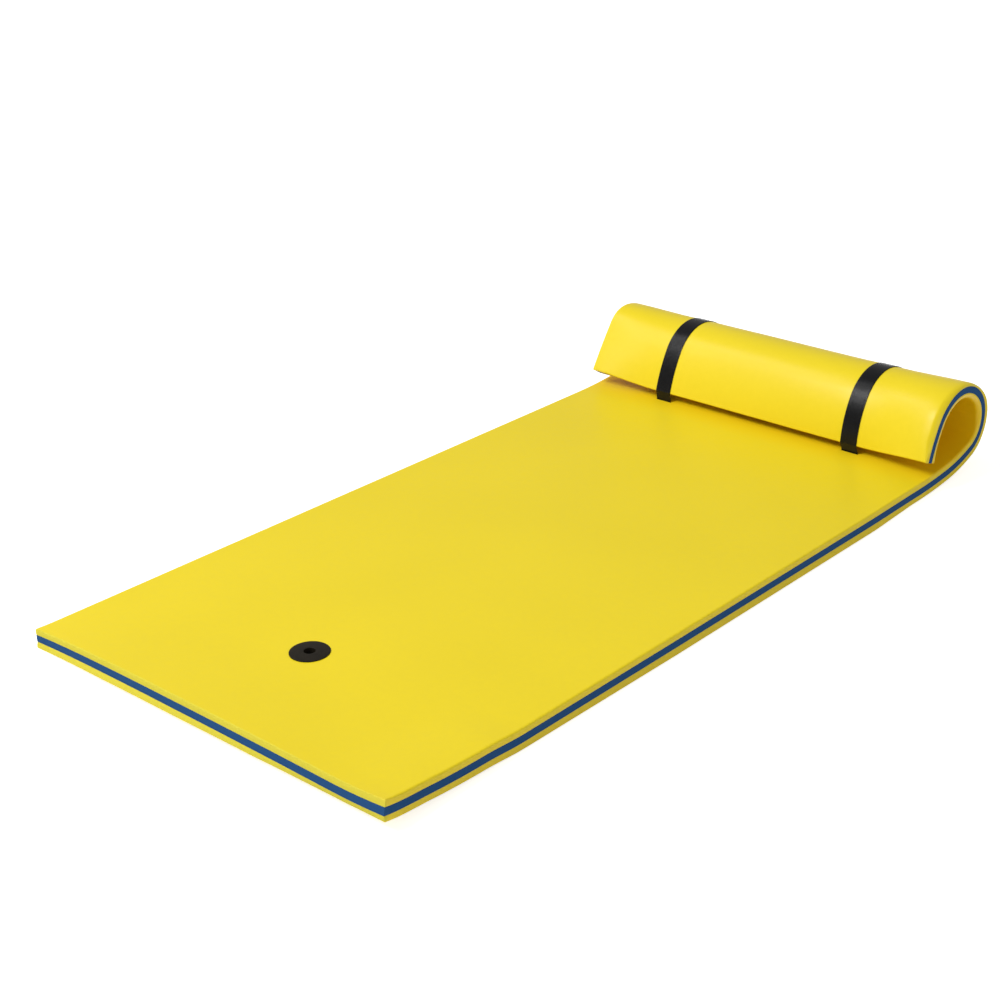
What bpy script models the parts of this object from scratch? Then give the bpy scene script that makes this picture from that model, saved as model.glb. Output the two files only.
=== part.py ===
"""A swim float mat with a roll-up pillow.

Three layers of closed-cell foam are laminated and cut flat. The head end is rolled over
into a pillow, and two hook-and-loop straps hold the roll: each goes down through a slot in
the mat, under it, up the back of the roll and over to where its tail closes on it. A
two-part snap grommet near the foot takes a mooring line.

X runs across the mat, Y from its foot to its head, and Z up. The origin is on the floor,
at the middle of the width and of the length as the mat lies.
"""

import math

import bmesh
import bpy
from mathutils import Matrix, Vector

# Mat
mat_width = 0.900
mat_length = 2.115
layer_thickness = 0.013
edge_round = 0.002
fit_gap = 0.0003

# Roll, along the middle of the foam's thickness. The lift off the floor is the same right
# across the mat. The stretches after it are given at four places: the roll's left end, its
# left strap, its right strap and its right end. Each has a radius, and ends where the foam
# has turned up and over by a heading in degrees. The hold is the width over which a strap
# keeps the roll in its own shape
lift_radius = 1.300
lift_heading = 5.5
sweep_radii = (0.3516, 0.4272, 0.3822, 0.3827)
sweep_headings = (20.6, 20.7, 20.5, 20.8)
back_radii = (0.0728, 0.0587, 0.0630, 0.0681)
back_headings = (126.0, 111.4, 102.9, 127.8)
crown_radii = (0.0721, 0.0823, 0.0824, 0.1009)
crown_headings = (232.7, 237.3, 235.9, 237.7)
front_radii = (1.2240, 0.3193, 0.1899, 0.3394)
front_headings = (237.9, 254.2, 265.1, 251.5)
strap_hold = 0.050

# Set that storage leaves in the foot end, which springs up from its left corner on
foot_lift = 0.015
foot_lift_reach = 0.180
corner_lift = 0.006
corner_lift_reach = 0.120
foot_lift_power = 1.6

# Grommet
grommet_place = 0.255
flange_radius = 0.0365
flange_rim_thickness = 0.0015
flange_land_thickness = 0.0026
flange_land_width = 0.0050
flange_round = 0.0007
bore_radius = 0.0105
tube_wall = 0.0022
sleeve_wall = 0.0025
lower_flange_thickness = 0.0020
barb_height = 0.0005
barb_length = 0.0024
barb_place = 0.0060

# Straps
strap_place = 0.250
webbing_width = 0.040
webbing_thickness = 0.0013
patch_width = 0.038
patch_thickness = 0.0009
slot_end_clearance = 0.0010
bend_radius = 0.0025
slot_from_head = 0.539

# Strap closure, at the back of the roll, measured along the middle of the foam
hinge_above_rear = 0.034
ramp_length = 0.018
hook_length = 0.048
tab_length = 0.010
loop_overrun = 0.012
tip_round = 0.005

# Fineness of the surfaces
facet_turn = math.radians(7.5)
bend_facet_turn = math.radians(18)
facet_length = 0.020
curl_columns = 12
curl_rows = 8
flare_columns = 3
middle_columns = 4
ramp_steps = 6
round_steps = 2
round_profile = 0.5
turned_steps = 48

# Overrun of a cutter past what it cuts
overrun = 0.004

quarter_turn = math.tau / 4
mat_thickness = 3 * layer_thickness
half_thickness = mat_thickness / 2


def arc_rise(radius, start, end):
    """How far a stretch of this radius climbs while it turns from start to end."""
    return radius * (math.cos(start) - math.cos(end))


def arc_advance(radius, start, end):
    """How far a stretch of this radius runs along Y while it turns from start to end."""
    return radius * (math.sin(end) - math.sin(start))


def stretches(radii, headings):
    """The stretches of one place's roll after the lift: radius, start and end heading."""
    turns = [math.radians(heading) for heading in (lift_heading, *headings)]
    return list(zip(radii, turns, turns[1:]))


def length_of(roll):
    """The length of foam in this roll after the lift."""
    return sum(radius * (end - start) for radius, start, end in roll)


rolls = [
    stretches(radii, headings)
    for radii, headings in zip(
        zip(sweep_radii, back_radii, crown_radii, front_radii),
        zip(sweep_headings, back_headings, crown_headings, front_headings),
    )
]
left_end, left_strap, right_strap, right_end = range(len(rolls))
rolled_length = sum(length_of(roll) for roll in rolls) / len(rolls)
own_shares = [length_of(roll) / rolled_length for roll in rolls]
lift = (lift_radius, 0, math.radians(lift_heading))
lift_end = mat_length - rolled_length
flat_length = lift_end - length_of([lift])

# Distance of each strap piece's middle from the mat's skin, in the order they lie
webbing_out = fit_gap + webbing_thickness / 2
loop_out = webbing_out + webbing_thickness / 2 + fit_gap + patch_thickness / 2
hook_out = loop_out + patch_thickness + fit_gap
tail_out = hook_out + patch_thickness / 2 + fit_gap + webbing_thickness / 2


def stretch_starts(roll, own_share):
    """Where each stretch starts: along the mat, Y, Z, its radius, heading and own share."""
    starts = []
    along, y, z = flat_length, flat_length, half_thickness
    for stretch, share in [(lift, 1), *((stretch, own_share) for stretch in roll)]:
        radius, start, end = stretch
        starts.append((along, y, z, radius, start, share))
        along += radius * (end - start) / share
        y += arc_advance(*stretch)
        z += arc_rise(*stretch)
    return starts


roll_starts = [stretch_starts(roll, share) for roll, share in zip(rolls, own_shares)]


def middle_line(place, along):
    """Y, Z and heading of the foam's middle in a place's roll, this far from the foot."""
    if along <= flat_length:
        return along, half_thickness, 0
    begun, y, z, radius, start, share = [s for s in roll_starts[place] if s[0] <= along][-1]
    heading = start + (along - begun) * share / radius
    y += arc_advance(radius, start, heading)
    z += arc_rise(radius, start, heading)
    return y, z, heading


def rear_along(place):
    """How far along the mat a place's roll stands upright at its back."""
    begun, _, _, radius, start, share = [s for s in roll_starts[place] if s[4] <= quarter_turn][-1]
    return begun + radius * (quarter_turn - start) / share


closed_stack = tail_out + webbing_thickness / 2
overall_length = half_thickness + max(
    middle_line(place, rear_along(place))[0] + stack
    for place, stack in enumerate((0, closed_stack, closed_stack, 0))
)


def lay_at(place, along, above):
    """Y and Z of a point in a place's roll, this far along the mat and above its middle."""
    y, z, heading = middle_line(place, along)
    y -= overall_length / 2
    return Vector((y - above * math.sin(heading), z + above * math.cos(heading)))


def outside(place, along, out):
    """Y and Z of a point in a place's roll, this far outside the mat's lower skin."""
    return lay_at(place, along, -(half_thickness + out))


def ease(share):
    """A smooth step from 0 to 1."""
    return share * share * (3 - 2 * share)


# Across the mat, the zones in which one place's roll passes over into the next one's
hold_start = strap_place - strap_hold / 2
hold_end = strap_place + strap_hold / 2
zones = [(-mat_width / 2, -hold_end), (-hold_start, hold_start), (hold_end, mat_width / 2)]


def lay(x, along, above):
    """Y and Z of a point this far across, along the mat and above its middle, as it lies."""
    place = sum(x > right for _, right in zones[:-1])
    left, right = zones[place]
    share = ease(min(max((x - left) / (right - left), 0), 1))
    return lay_at(place, along, above).lerp(lay_at(place + 1, along, above), share)


def roll_columns():
    """The X places at which the rolled end is divided."""
    found = []
    for (left, right), steps in zip(zones, (flare_columns, middle_columns, flare_columns)):
        found += [left + (right - left) * step / steps for step in range(steps + 1)]
    return found[1:-1]


curl_length = grommet_place - flange_radius - edge_round


def foot_set(x, along):
    """How far the set in the foot end lifts the foam here."""
    from_left = x + mat_width / 2
    from_right = mat_width / 2 - x
    spring = foot_lift * (1 - math.exp(-from_left / foot_lift_reach))
    spring *= max(0, 1 - along / curl_length) ** foot_lift_power
    corner = corner_lift * max(0, 1 - from_right / corner_lift_reach) ** 2
    corner *= max(0, 1 - along / corner_lift_reach) ** 2
    return spring + corner


slot_along = mat_length - slot_from_head
slot_margin = bend_radius + edge_round


def tightest(along):
    """The smallest radius that any place's roll has, this far along the mat."""
    return min([s[3] for s in starts if s[0] <= along][-1] for starts in roll_starts)


def roll_stations():
    """Distances along the mat at which its rolled end is divided."""
    lift_length = lift_end - flat_length
    lift_steps = math.ceil(lift_length / facet_length)
    found = [flat_length + lift_length * step / lift_steps for step in range(lift_steps + 1)]
    while found[-1] < mat_length - edge_round:
        found.append(found[-1] + min(facet_length, facet_turn * tightest(found[-1])))
    near_slot = [slot_along - slot_margin, slot_along + slot_margin]
    clear = [s for s in found[:-1] if min(abs(s - n) for n in near_slot) > edge_round]
    return sorted(clear + near_slot)


stations = roll_stations()


def between(start, end):
    """The start, the mat's stations from there to the end, and the end."""
    low, high = min(start, end), max(start, end)
    inner = [s for s in stations if low + edge_round / 2 < s < high - edge_round / 2]
    return [start, *sorted(inner, reverse=end < start), end]


def skin_path(place, start, end, out):
    """The path from start to end of what lies this far outside the mat's lower skin."""
    return [outside(place, along, out) for along in between(start, end)]


def material(name, colour, roughness):
    """A plain finish of this colour."""
    made = bpy.data.materials.new(name)
    made.use_nodes = True
    shader = made.node_tree.nodes["Principled BSDF"]
    shader.inputs["Base Color"].default_value = (*colour, 1)
    shader.inputs["Roughness"].default_value = roughness
    shader.inputs["Metallic"].default_value = 0
    made.diffuse_color = (*colour, 1)
    return made


def add_object(name, mesh, collection, finish=None, place=None, carrier=None):
    """An object of this mesh at its place, or at the empty that carries it."""
    made = bpy.data.objects.new(name, mesh)
    collection.objects.link(made)
    if finish:
        mesh.materials.append(finish)
    if carrier:
        made.parent = carrier
    elif place:
        made.location = place
    return made


def mesh_from(bm, name, sharp_angle=math.radians(30)):
    """The finished mesh, smooth but for its sharp edges."""
    bmesh.ops.recalc_face_normals(bm, faces=bm.faces)
    mesh = bpy.data.meshes.new(name)
    bm.to_mesh(mesh)
    bm.free()
    mesh.shade_smooth()
    mesh.set_sharp_from_angle(angle=sharp_angle)
    return mesh


# Foam


def divide(bm, faces, place, normal):
    """Cuts these faces along a plane and keeps both sides."""
    edges = {edge for face in faces for edge in face.edges}
    verts = {vert for face in faces for vert in face.verts}
    geometry = [*verts, *edges, *faces]
    bmesh.ops.bisect_plane(bm, geom=geometry, plane_co=place, plane_no=normal)


def round_rim(bm, level):
    """Rounds the rim of the slab's face at this level."""
    edges = [e for e in bm.edges if all(abs(v.co.z - level) < fit_gap / 2 for v in e.verts)]
    bmesh.ops.bevel(
        bm,
        geom=edges,
        offset=edge_round,
        segments=round_steps,
        profile=round_profile,
        affect="EDGES",
    )


def halve_quads(bm):
    """Cuts every level quad along the same diagonal, so that bent layers keep their gap."""
    for face in [f for f in bm.faces if len(f.verts) == 4]:
        corners = sorted(face.verts, key=lambda vert: sum(vert.co))
        levels = [vert.co.z for vert in corners]
        if max(levels) - min(levels) < fit_gap / 2:
            bmesh.utils.face_split(face, corners[0], corners[-1])


def foam_layer(name, low, high, collection, finish):
    """A layer, cut flat from low to high above the mat's middle, then laid and rolled."""
    bm = bmesh.new()
    size = Matrix.Diagonal((mat_width, mat_length, high - low, 1))
    place = Matrix.Translation((0, mat_length / 2, (low + high) / 2))
    bmesh.ops.create_cube(bm, size=1, matrix=place @ size)
    for level in (low, high):
        if abs(level) > half_thickness - fit_gap / 2:
            round_rim(bm, level)
    for station in stations:
        divide(bm, bm.faces[:], (0, station, 0), (0, 1, 0))
    for row in range(curl_rows):
        row_place = curl_length * (row + 1) / curl_rows
        foot_faces = [f for f in bm.faces if f.calc_center_median().y < flat_length]
        divide(bm, foot_faces, (0, row_place, 0), (0, 1, 0))
    for column in range(1, curl_columns):
        column_place = mat_width * (column / curl_columns - 1 / 2)
        foot_faces = [f for f in bm.faces if f.calc_center_median().y < curl_length]
        divide(bm, foot_faces, (column_place, 0, 0), (1, 0, 0))
    for column_place in roll_columns():
        roll_faces = [f for f in bm.faces if f.calc_center_median().y > lift_end]
        divide(bm, roll_faces, (column_place, 0, 0), (1, 0, 0))
    halve_quads(bm)
    for vert in bm.verts:
        x, along, above = vert.co
        y, z = lay(x, along, above)
        vert.co = (x, y, z + foot_set(x, along))
    return add_object(name, mesh_from(bm, name), collection, finish)


def cut(piece, cutter):
    """Cuts the cutter out of the piece."""
    boolean = piece.modifiers.new(cutter.name, "BOOLEAN")
    boolean.operation = "DIFFERENCE"
    boolean.solver = "EXACT"
    boolean.object = cutter


def helper(made):
    """Keeps a cutter out of the model."""
    made.hide_render = True
    made.display_type = "WIRE"
    return made


def slot_cutter(name, x, collection):
    """The slot that a strap goes down through, square to the mat."""
    bm = bmesh.new()
    length = webbing_width + 2 * slot_end_clearance
    size = Matrix.Diagonal((length, 2 * bend_radius, mat_thickness + 2 * overrun, 1))
    bmesh.ops.create_cube(bm, size=1, matrix=size)
    y, z = lay(x, slot_along, 0)
    cutter = add_object(name, mesh_from(bm, name), collection, place=(x, y, z))
    cutter.rotation_euler.x = middle_line(left_strap, slot_along)[2]
    return helper(cutter)


def round_cutter(name, radius, low, high, collection):
    """A round hole from low to high at the grommet."""
    bm = bmesh.new()
    bmesh.ops.create_cone(
        bm,
        cap_ends=True,
        segments=turned_steps,
        radius1=radius,
        radius2=radius,
        depth=high - low,
    )
    y = grommet_place - overall_length / 2
    cutter = add_object(name, mesh_from(bm, name), collection, place=(0, y, (low + high) / 2))
    return helper(cutter)


# Grommet

tube_radius = bore_radius + tube_wall
sleeve_bore = tube_radius + fit_gap
sleeve_radius = sleeve_bore + sleeve_wall
foam_hole_radius = sleeve_radius + fit_gap
recess_depth = lower_flange_thickness + 2 * fit_gap


def rounded(corners):
    """The outline of (radius, height, rounding) corners, each rounded by an arc."""
    points = []
    for i, (r, z, rounding) in enumerate(corners):
        here = Vector((r, z))
        if not rounding:
            points.append(here)
            continue
        before = Vector(corners[i - 1][:2]) - here
        after = Vector(corners[(i + 1) % len(corners)][:2]) - here
        half = before.angle(after) / 2
        reach = rounding / math.tan(half)
        centre = here + (before.normalized() + after.normalized()).normalized() * (
            rounding / math.sin(half)
        )
        start = here + before.normalized() * reach - centre
        end = here + after.normalized() * reach - centre
        for step in range(round_steps + 1):
            share = step / round_steps
            points.append(centre + start.lerp(end, share).normalized() * rounding)
    return points


def turned(name, corners, collection, finish):
    """A ring turned about the grommet's axis from its closed outline."""
    bm = bmesh.new()
    points = rounded(corners)
    verts = [bm.verts.new((point.x, 0, point.y)) for point in points]
    for i, vert in enumerate(verts):
        bm.edges.new((vert, verts[(i + 1) % len(verts)]))
    mesh = bpy.data.meshes.new(name)
    bm.to_mesh(mesh)
    bm.free()
    y = grommet_place - overall_length / 2
    ring = add_object(name, mesh, collection, finish, place=(0, y, 0))
    screw = ring.modifiers.new("turn", "SCREW")
    screw.angle = math.tau
    screw.steps = turned_steps
    screw.render_steps = turned_steps
    screw.use_merge_vertices = True
    screw.merge_threshold = fit_gap / 10
    screw.use_smooth_shade = True
    return ring


def barb(radius):
    """The snap ridge on a wall of this radius, from its top to its bottom."""
    return [
        (radius, barb_place + barb_length, 0),
        (radius + barb_height, barb_place + barb_length / 2, 0),
        (radius, barb_place, 0),
    ]


def grommet_top(collection, finish):
    """The upper flange, which lies on the deck, and its tube with the snap ridge."""
    seat = mat_thickness + fit_gap
    land_radius = bore_radius + flange_land_width
    foot = lower_flange_thickness / 2
    corners = [
        (bore_radius, seat + flange_land_thickness, flange_round),
        (land_radius, seat + flange_land_thickness, 0),
        (flange_radius, seat + flange_rim_thickness, flange_round),
        (flange_radius, seat, 0),
        (tube_radius, seat, 0),
        *barb(tube_radius),
        (tube_radius, foot, 0),
        (bore_radius, foot, 0),
    ]
    return turned("grommet_top", corners, collection, finish)


def grommet_bottom(collection, finish):
    """The lower flange, sunk flush in the underside, and its sleeve with the snap groove."""
    top = mat_thickness - fit_gap
    flange_top = fit_gap + lower_flange_thickness
    corners = [
        (sleeve_bore, top, 0),
        (sleeve_radius, top, 0),
        (sleeve_radius, flange_top, 0),
        (flange_radius, flange_top, flange_round),
        (flange_radius, fit_gap, flange_round),
        (sleeve_bore, fit_gap, 0),
        *reversed(barb(sleeve_bore)),
    ]
    return turned("grommet_bottom", corners, collection, finish)


# Straps


def left_of(heading):
    """The unit vector to the left of this heading."""
    return Vector((-math.sin(heading), math.cos(heading)))


def bend(centre, radius, start, end):
    """Points round a centre from one heading to another, left-handed where radius is plus."""
    steps = math.ceil(abs(end - start) / bend_facet_turn)
    headings = [start + (end - start) * step / steps for step in range(steps + 1)]
    return [centre - left_of(heading) * radius for heading in headings]


def under_bend(place):
    """The strap's turn at the slot's foot, from down to along the underside."""
    level = half_thickness + webbing_out - bend_radius
    steps = math.ceil(quarter_turn / bend_facet_turn)
    points = []
    for step in range(steps + 1):
        turn = quarter_turn * step / steps
        ahead = bend_radius * (1 - math.cos(turn))
        down = bend_radius * math.sin(turn)
        points.append(lay_at(place, slot_along + ahead, -level - down))
    return points


def band_path(place, hinge_along, inner_end_along):
    """The strap's middle line, from its tail's hinge over the roll to its inner end."""
    over = skin_path(place, hinge_along + fit_gap / 2, mat_length - edge_round, webbing_out)
    corner = lay_at(place, mat_length - edge_round, edge_round - half_thickness)
    corner_radius = edge_round + webbing_out
    corner_heading = middle_line(place, mat_length)[2]
    slot_heading = middle_line(place, slot_along)[2] + 3 * quarter_turn
    slot_top = lay_at(place, slot_along, half_thickness + fit_gap)
    slot_centre = slot_top - left_of(slot_heading) * bend_radius
    leg = slot_centre - corner
    reach = (corner_radius + bend_radius) / leg.length
    leg_heading = math.atan2(leg.y, leg.x) + math.asin(reach) + math.tau
    round_edge = bend(corner, corner_radius, corner_heading, leg_heading)
    into_slot = bend(slot_centre, -bend_radius, leg_heading, slot_heading)
    under = skin_path(place, slot_along + bend_radius, inner_end_along, webbing_out)
    return over[:-1] + round_edge + into_slot + under_bend(place) + under[1:]


def tail_path(place, hinge_along, tip_along):
    """The tail's middle line, from its hinge over the inner end's patches to its tip."""
    points = []
    for step in range(ramp_steps + 1):
        share = step / ramp_steps
        along = hinge_along - fit_gap / 2 - (ramp_length - fit_gap / 2) * share
        out = webbing_out + (tail_out - webbing_out) * ease(share)
        points.append(outside(place, along, out))
    closed = between(hinge_along - ramp_length, tip_along)
    flat_tip = [s for s in closed[1:-1] if s - tip_along > tip_round]
    return points + [outside(place, s, tail_out) for s in [*flat_tip, tip_along]]


def round_tip(tail):
    """Rounds the two corners at the strip's free end, before it gets its thickness."""
    last = len(tail.data.vertices) - 1
    tail.vertex_groups.new(name="tip").add([last - 1, last], 1, "REPLACE")
    rounding = tail.modifiers.new("tip", "BEVEL")
    rounding.affect = "VERTICES"
    rounding.limit_method = "VGROUP"
    rounding.vertex_group = "tip"
    rounding.width = tip_round
    rounding.segments = 2 * round_steps
    tail.modifiers.move(1, 0)


def ribbon(name, path, x, section, collection, finish, carrier=None):
    """A strip of this section, (width, thickness), whose middle follows a path."""
    width, thickness = section
    origin = carrier.location if carrier else Vector((x, 0, 0))
    bm = bmesh.new()
    rows = []
    for point in path:
        sides = [(x + side * width / 2, point.x, point.y) for side in (-1, 1)]
        rows.append([bm.verts.new(Vector(side) - origin) for side in sides])
    for (a, b), (c, d) in zip(rows, rows[1:]):
        bm.faces.new((a, b, d, c))
    mesh = bpy.data.meshes.new(name)
    bm.to_mesh(mesh)
    bm.free()
    strip = add_object(name, mesh, collection, finish, place=origin, carrier=carrier)
    thicken = strip.modifiers.new("thickness", "SOLIDIFY")
    thicken.thickness = thickness
    thicken.offset = 0
    thicken.use_even_offset = True
    return strip


def strap(side, place, collection, webbing, hook, loop):
    """One strap: its band, the loop patch on it, and the tail and hook patch that peel."""
    x = strap_place if place == right_strap else -strap_place
    hinge_along = rear_along(place) + hinge_above_rear
    inner_end_along = hinge_along - ramp_length - 2 * fit_gap
    hook_end_along = inner_end_along - hook_length
    tip_along = hook_end_along - tab_length
    loop_end_along = tip_along - loop_overrun
    hinge = bpy.data.objects.new(f"strap_{side}_hinge", None)
    hinge.location = (x, *outside(place, hinge_along, fit_gap + webbing_thickness))
    hinge.empty_display_size = webbing_width
    collection.objects.link(hinge)
    band = band_path(place, hinge_along, inner_end_along)
    tail_line = tail_path(place, hinge_along, tip_along)
    loop_path = skin_path(place, inner_end_along, loop_end_along, loop_out)
    hook_path = skin_path(place, inner_end_along, hook_end_along, hook_out)
    strap_section = (webbing_width, webbing_thickness)
    patch_section = (patch_width, patch_thickness)
    ribbon(f"strap_{side}_band", band, x, strap_section, collection, webbing)
    ribbon(f"strap_{side}_loop_patch", loop_path, x, patch_section, collection, loop)
    hook_name = f"strap_{side}_hook_patch"
    ribbon(hook_name, hook_path, x, patch_section, collection, hook, carrier=hinge)
    tail_name = f"strap_{side}_tail"
    tail = ribbon(tail_name, tail_line, x, strap_section, collection, webbing, carrier=hinge)
    round_tip(tail)


def clear_scene():
    """Removes whatever the scene holds."""
    for held in list(bpy.data.objects):
        bpy.data.objects.remove(held)


def new_collection(name):
    """A collection of this name in the scene."""
    made = bpy.data.collections.new(name)
    bpy.context.scene.collection.children.link(made)
    return made


def build():
    """Makes the whole mat."""
    clear_scene()
    model = new_collection("swim_float_mat")
    cutters = new_collection("cutters")

    yellow = material("yellow_foam", (0.871, 0.694, 0.042), 0.55)
    blue = material("blue_foam", (0.018, 0.093, 0.305), 0.60)
    webbing = material("black_webbing", (0.015, 0.015, 0.018), 0.45)
    hook = material("black_hook_tape", (0.012, 0.012, 0.013), 0.70)
    loop = material("black_loop_tape", (0.016, 0.016, 0.017), 0.95)
    plastic = material("black_plastic", (0.023, 0.021, 0.018), 0.50)

    core_face = (layer_thickness - fit_gap) / 2
    seam_face = core_face + fit_gap
    bottom = foam_layer("foam_bottom_layer", -half_thickness, -seam_face, model, yellow)
    core = foam_layer("foam_core_layer", -core_face, core_face, model, blue)
    top = foam_layer("foam_top_layer", seam_face, half_thickness, model, yellow)

    past_top = mat_thickness + overrun
    recess_radius = flange_radius + fit_gap
    through = round_cutter("grommet_hole", foam_hole_radius, -overrun, past_top, cutters)
    recess = round_cutter("grommet_recess", recess_radius, -overrun, recess_depth, cutters)
    slots = [
        slot_cutter("slot_left", -strap_place, cutters),
        slot_cutter("slot_right", strap_place, cutters),
    ]
    for layer in (bottom, core, top):
        for cutter in (through, *slots):
            cut(layer, cutter)
    cut(bottom, recess)

    grommet_top(model, plastic)
    grommet_bottom(model, plastic)
    strap("left", left_strap, model, webbing, hook, loop)
    strap("right", right_strap, model, webbing, hook, loop)


build()
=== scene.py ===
"""The looks of a swim float mat with a roll-up pillow.

Every piece is made around the fixed frame, in metres. X runs across the mat, Y from its
foot to its head, and Z up, with the origin on the floor at the middle of the mat.
"""

import math

import bpy
import numpy as np
from mathutils import Matrix, Vector, noise


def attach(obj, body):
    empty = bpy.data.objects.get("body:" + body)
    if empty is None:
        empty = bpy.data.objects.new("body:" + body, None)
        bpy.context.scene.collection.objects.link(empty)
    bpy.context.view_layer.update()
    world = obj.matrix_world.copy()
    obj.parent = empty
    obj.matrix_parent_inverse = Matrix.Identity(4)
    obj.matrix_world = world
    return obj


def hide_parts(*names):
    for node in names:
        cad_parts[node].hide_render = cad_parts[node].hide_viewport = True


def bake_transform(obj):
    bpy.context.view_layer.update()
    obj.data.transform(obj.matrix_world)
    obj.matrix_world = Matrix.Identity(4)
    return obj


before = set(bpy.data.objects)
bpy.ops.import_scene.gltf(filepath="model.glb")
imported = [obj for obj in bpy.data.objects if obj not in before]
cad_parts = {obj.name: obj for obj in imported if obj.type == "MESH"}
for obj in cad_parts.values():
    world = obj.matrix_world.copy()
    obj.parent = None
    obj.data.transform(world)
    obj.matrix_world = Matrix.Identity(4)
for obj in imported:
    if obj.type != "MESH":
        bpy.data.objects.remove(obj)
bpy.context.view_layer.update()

# Mat
mat_width = 0.900
mat_length = 2.115
layer_thickness = 0.013
core_thickness = 0.0144
edge_round = 0.0025
deck_edge_round = 0.0042
foot_edge_round = 0.0015
foot_rim_reach = 0.030
open_rim_depth = 0.0095
open_rim_reach = 0.0140
open_rim_share = 0.85
inner_rim_reach = 0.0095
fit_gap = 0.0003

# Roll, along the middle of the foam's thickness. The lift off the floor is the same right
# across the mat. The stretches after it are given at four places: the roll's left end, its
# left strap, its right strap and its right end. Each has a radius, and ends where the foam
# has turned up and over by a heading in degrees. The hold is the width over which a strap
# keeps the roll in its own shape
lift_radius = 1.300
lift_heading = 5.5
sweep_radii = (0.3516, 0.4272, 0.3822, 0.3827)
sweep_headings = (20.6, 20.7, 20.5, 20.8)
back_radii = (0.0728, 0.0587, 0.0630, 0.0681)
back_headings = (126.0, 111.4, 102.9, 127.8)
crown_radii = (0.0721, 0.0823, 0.0824, 0.1009)
crown_headings = (232.7, 237.3, 235.9, 237.7)
front_radii = (1.2240, 0.3193, 0.1899, 0.3394)
front_headings = (237.9, 254.2, 265.1, 251.5)
strap_hold = 0.050

# Where the foam bends tightest its outer layer is stretched thin, and at the left end it
# stands full below that: by how much at the four places, and the headings where each peaks
# and over which it fades
crown_thinning = (0.0030, 0, 0.0030, 0.0052)
thinnest_heading = 158
thinning_span = 75
front_fullness = (0.0045, 0, 0, 0)
fullest_heading = 208
fullness_span = 42

# Headings from which the rims are drawn round at the roll's right end, inside and outside,
# and those from which the outer one is softer, each with the span over which that comes
deck_opened_from = 40
skin_opened_from = 110
opened_span = 60
softened_from = 175
softened_span = 45

# Set that storage leaves in the foot end, which springs up from its left corner on, and ends
# a little before the grommet's flange
foot_lift = 0.015
foot_lift_reach = 0.180
corner_lift = 0.006
corner_lift_reach = 0.120
foot_lift_power = 1.6
curl_clearance = 0.002

# The right side stays a little off the floor past the foot
side_lift = 0.0045
side_lift_reach = 0.160
side_lift_end = 0.310
side_lift_run = 0.100

# The foot's cut isn't square: from its left end to the middle its lower layer stands forward,
# and the others by a share of that, and towards the right end the lower layer stands back
forward_places = (-0.45, -0.25, -0.05, 0.10, 0.20)
forward_amounts = (0.0040, 0.0060, 0.0045, 0.0015, 0)
forward_share = 0.35
back_places = (0.15, 0.33, 0.40, 0.45)
back_amounts = (0, 0.0045, 0.0050, 0.0035)
slant_reach = 0.060

# Along its right side the lower layer stands out, and the others by a share of that
flare_places = (0.10, 0.30, 0.70, 1.35, 1.50)
flare_amounts = (0, 0.0025, 0.0070, 0.0070, 0)
flare_share = 0.30

# Grommet
grommet_place = 0.255
flange_radius = 0.0365
flange_rim_thickness = 0.0015
flange_land_thickness = 0.0026
flange_land_width = 0.0050
flange_round = 0.0007
land_round = 0.0020
bore_radius = 0.0105
tube_wall = 0.0022
sleeve_wall = 0.0025
lower_flange_thickness = 0.0020
barb_height = 0.0005
barb_length = 0.0024
barb_place = 0.0060

# Straps
strap_place = 0.250
webbing_width = 0.040
webbing_thickness = 0.0013
patch_width = 0.038
patch_thickness = 0.0009
slot_end_clearance = 0.0010
bend_radius = 0.0025
slot_from_head = 0.539

# Strap closure, at the back of the roll, measured along the middle of the foam
hinge_above_rear = 0.034
ramp_length = 0.018
hook_length = 0.048
tab_length = 0.010
loop_overrun = 0.012
tip_round = 0.005
peel_run = 0.020
peel_start = 0.005
peel_end = 0.014

# Stitching and hook tape. A hook's root and taper are in hook radii, and its levels and its
# curl in shares of its height
stitch_length = 0.0026
stitch_gap = 0.0007
stitch_radius = 0.00026
stitch_inset = 0.0030
stitch_sides = 6
hook_pitch = 0.0016
hook_height = 0.00055
hook_radius = 0.00016
hook_reach = 0.00035
hook_root = 1.15
hook_taper = 0.5
hook_sides = 4
hook_levels = (0, 0.35, 0.65, 0.9)
hook_curl_from = 0.35
hook_curl_span = 0.55
hook_end_margin = 0.001
hook_side_margins = 0.003
tape_base = 0.0004

# Each stitch's rings: place along it, thickness, and height in thread radii
stitch_rings = ((-1, 0.25, -0.9), (-0.7, 0.85, -0.1), (0, 1, 0.25), (0.7, 0.85, -0.1), (1, 0.25, -0.9))

# The webbing's weave
weave_width = 0.00125
weave_length = 0.0017

# Relief of the foam: its height, the length over which it comes and goes, and how far it
# keeps from the straps and the grommet. The wrinkles lie inside the roll's tight bend
deck_relief = 0.0003
deck_relief_length = 0.22
deck_strap_margin = 0.02
deck_grommet_margin = 0.03
roll_onset = 0.12
roll_relief = 0.0007
roll_relief_length = 0.075
roll_relief_width = 0.19
roll_strap_margin = 0.03
fine_relief_share = 0.25
fine_relief_length = 0.035
fine_relief_width = 0.06
wrinkle_height = 0.00035
wrinkle_length = 0.011
wrinkle_heading = 120
wrinkle_span = 75
wrinkle_wander = 3
wander_length = 0.02
wander_width = 0.09
strap_bulge = 0.0007
strap_bulge_length = 0.012
strap_bulge_fade = 0.02
deck_seed, wander_seed, roll_seed, fine_seed = 3.1, 8.4, 5.7, 2.2
cut_bulge = 0.00025
seam_round = 0.0006

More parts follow.
